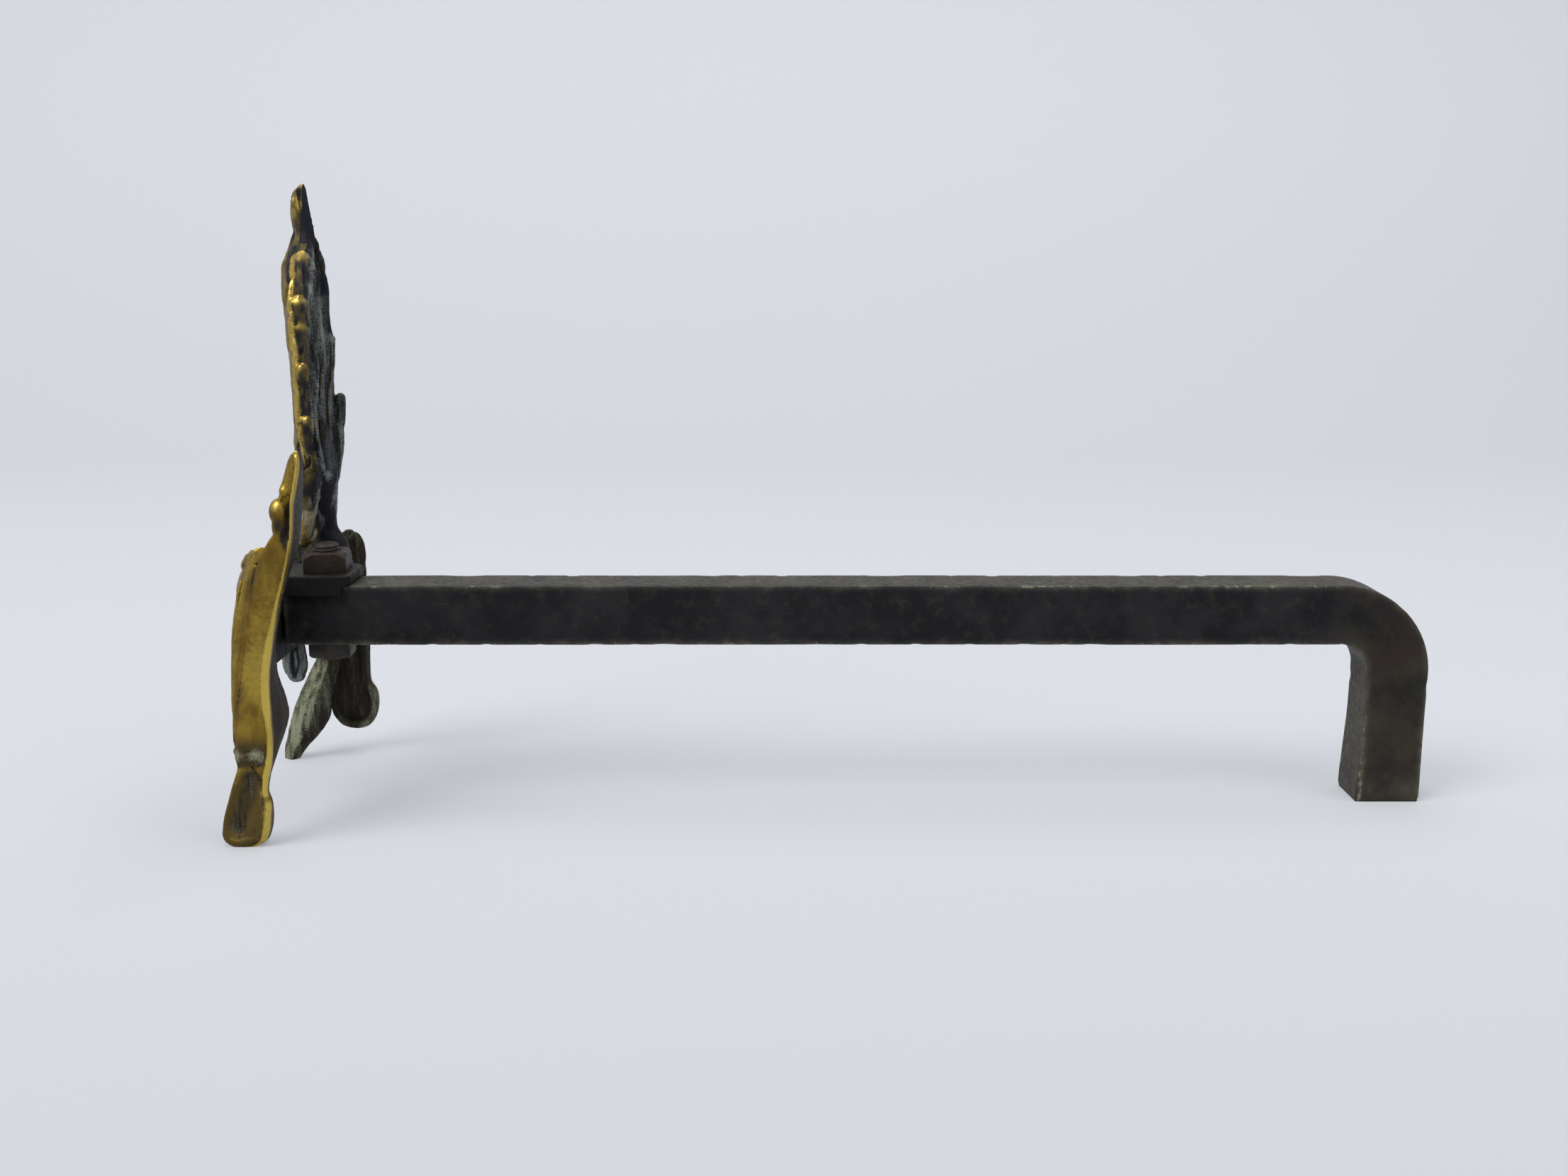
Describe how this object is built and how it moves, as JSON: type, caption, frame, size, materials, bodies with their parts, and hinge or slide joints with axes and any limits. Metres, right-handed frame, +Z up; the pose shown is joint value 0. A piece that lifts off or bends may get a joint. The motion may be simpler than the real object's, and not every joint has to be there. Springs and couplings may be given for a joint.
{
  "type": "andiron",
  "caption": "Forged iron andiron with a bent rear leg and a bolted rococo bronze front of a fluted shell, scrolled feet and a tall feathered plume.",
  "frame": {"origin": "middle of the footprint on the hearth, on the rail's centreline", "axes": "+X along the rail toward the fire side, +Y across the front, +Z up; the bronze faces -X"},
  "size_m": [0.4921, 0.1319, 0.2525],
  "materials": {
    "iron": "forged, blackened by fire, worn pale on its arrises",
    "lug_bronze": "dark sooty bronze",
    "gilt_bronze": "aged ochre bronze, bright on worn ridges and dark in its hollows",
    "patina_bronze": "near black bronze with pale green bloom and worn gold edges",
    "nut_iron": "rusted brown iron",
    "steel": "dark oxidised steel"
  },
  "bodies": {
    "root": {"fire_rail": "iron", "mounting_lug": "lug_bronze", "clamp_bolt": "steel", "clamp_nut": "nut_iron", "shell_front": "gilt_bronze", "near_scroll_leg": "gilt_bronze", "far_scroll_leg": "gilt_bronze", "pendant_drop": "patina_bronze", "plume": "patina_bronze", "plume_root_nut": "steel", "lug_screws": "steel", "near_leg_screws": "steel", "far_leg_screws": "steel", "pendant_rivet": "patina_bronze"}
  },
  "joints": []
}
